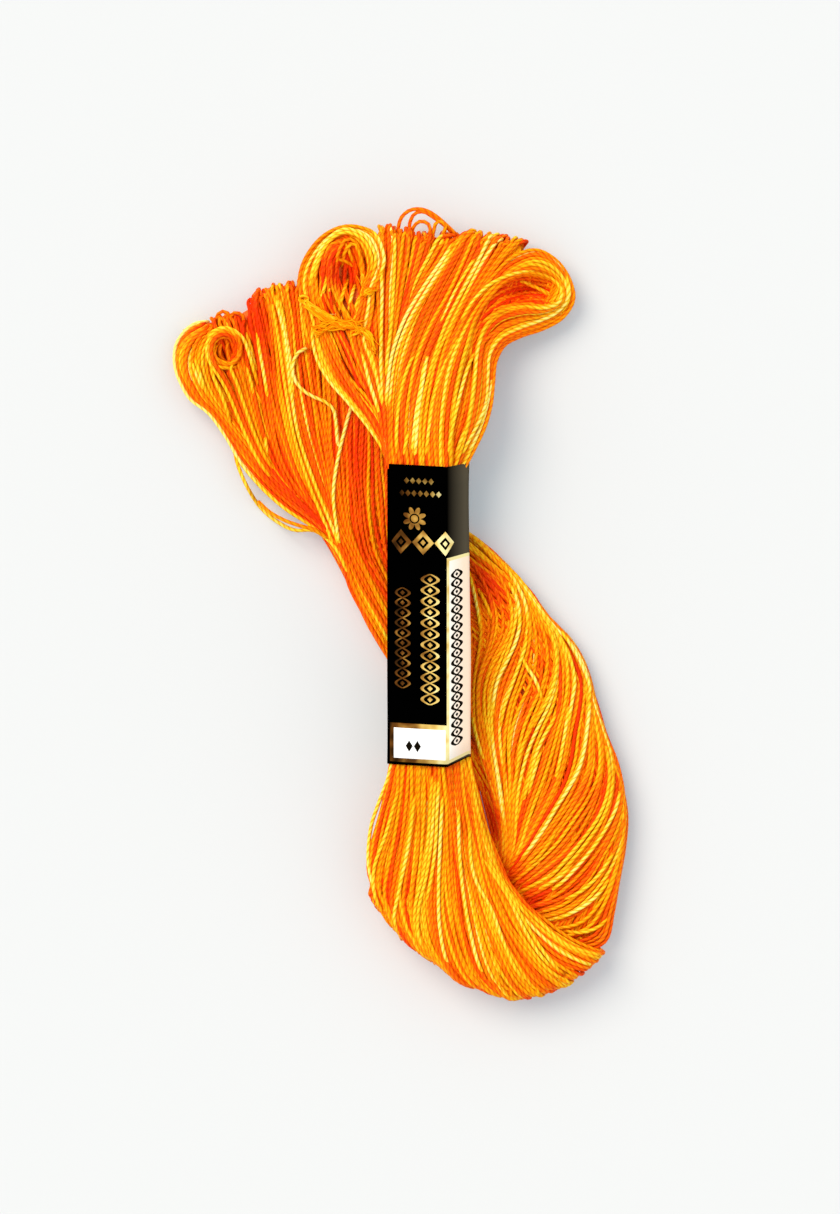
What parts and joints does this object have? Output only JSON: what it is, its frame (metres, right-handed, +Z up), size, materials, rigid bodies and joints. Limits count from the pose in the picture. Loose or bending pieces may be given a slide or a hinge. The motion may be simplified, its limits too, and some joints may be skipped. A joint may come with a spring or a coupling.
{
  "type": "skein of embroidery floss",
  "caption": "Skein of variegated cotton embroidery floss, folded over once and held by a folded paper band, with its looped ends spread as fans.",
  "frame": {"origin": "centre of the base of the box round the part", "axes": "+Z up from the surface it lies on, +Y along the skein from its fold to its looped ends, +X to the right seen from above"},
  "size_m": [0.0956, 0.162, 0.018],
  "materials": {
    "thread": "glossy plied cotton, yellow to deep orange",
    "band_paper": "coated black paper",
    "tie_thread": "fuzzy doubled cotton thread",
    "loose_thread": "glossy plied cotton, pale yellow"
  },
  "bodies": {
    "root": {"hank": "thread", "paper_band": "band_paper", "tie": "tie_thread", "loose_end": "loose_thread"}
  },
  "joints": []
}
